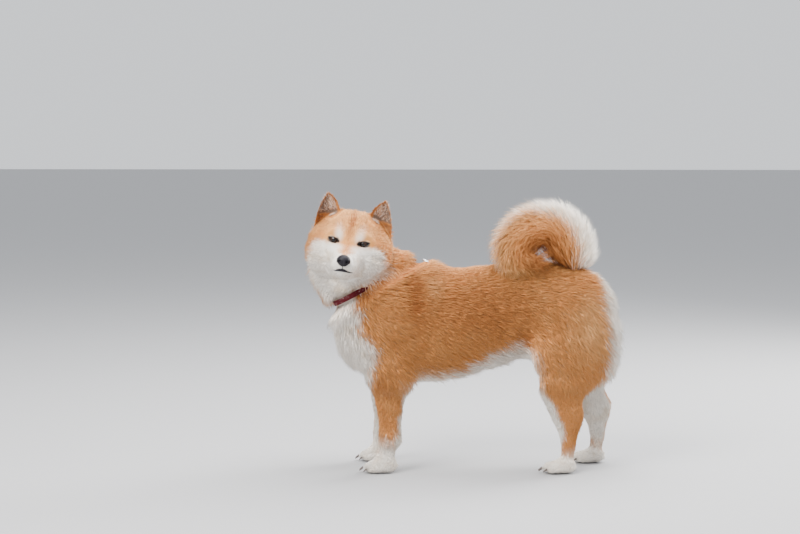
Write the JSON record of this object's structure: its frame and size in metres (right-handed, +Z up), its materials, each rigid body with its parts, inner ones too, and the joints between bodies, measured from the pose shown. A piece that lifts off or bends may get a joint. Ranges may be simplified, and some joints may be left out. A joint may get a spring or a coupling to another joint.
{
  "type": "shiba inu",
  "caption": "Life-size standing red dog with pricked ears, a curled tail over its back and a patterned collar, head turned to look over its left shoulder.",
  "frame": {"origin": "floor level under the middle of the animal's bounding box", "axes": "+X from the nose end of the body to the rump, +Y to the animal's right, +Z up"},
  "size_m": [0.5916, 0.2462, 0.5131],
  "materials": {
    "red_coat": "short dense fur, matt",
    "cream_coat": "short soft fur, matt",
    "nose_black": "damp, pebbled",
    "eye_brown": "wet, clear",
    "claw_horn": "smooth horn",
    "collar_webbing": "woven",
    "ring_steel": "polished"
  },
  "bodies": {
    "root": {"claw_forepaw_left_1": "claw_horn", "claw_forepaw_left_2": "claw_horn", "claw_forepaw_left_3": "claw_horn", "claw_forepaw_left_4": "claw_horn", "claw_forepaw_right_1": "claw_horn", "claw_forepaw_right_2": "claw_horn", "claw_forepaw_right_3": "claw_horn", "claw_forepaw_right_4": "claw_horn", "claw_hindpaw_left_1": "claw_horn", "claw_hindpaw_left_2": "claw_horn", "claw_hindpaw_left_3": "claw_horn", "claw_hindpaw_left_4": "claw_horn", "claw_hindpaw_right_1": "claw_horn", "claw_hindpaw_right_2": "claw_horn", "claw_hindpaw_right_3": "claw_horn", "claw_hindpaw_right_4": "claw_horn", "collar": "collar_webbing", "collar_keeper": "collar_webbing", "collar_ring": "ring_steel", "ear_left": "red_coat", "ear_right": "red_coat", "eye_left": "eye_brown", "eye_right": "eye_brown", "forearm_left": "red_coat", "forearm_right": "red_coat", "forepaw_left": "cream_coat", "forepaw_right": "cream_coat", "head": "red_coat", "hindpaw_left": "cream_coat", "hindpaw_right": "cream_coat", "neck": "red_coat", "nose": "nose_black", "shank_left": "red_coat", "shank_right": "red_coat", "shoulder_left": "red_coat", "shoulder_right": "red_coat", "tail_middle": "red_coat", "tail_root": "red_coat", "tail_tip": "red_coat", "thigh_left": "red_coat", "thigh_right": "red_coat", "torso": "red_coat"}
  },
  "joints": []
}
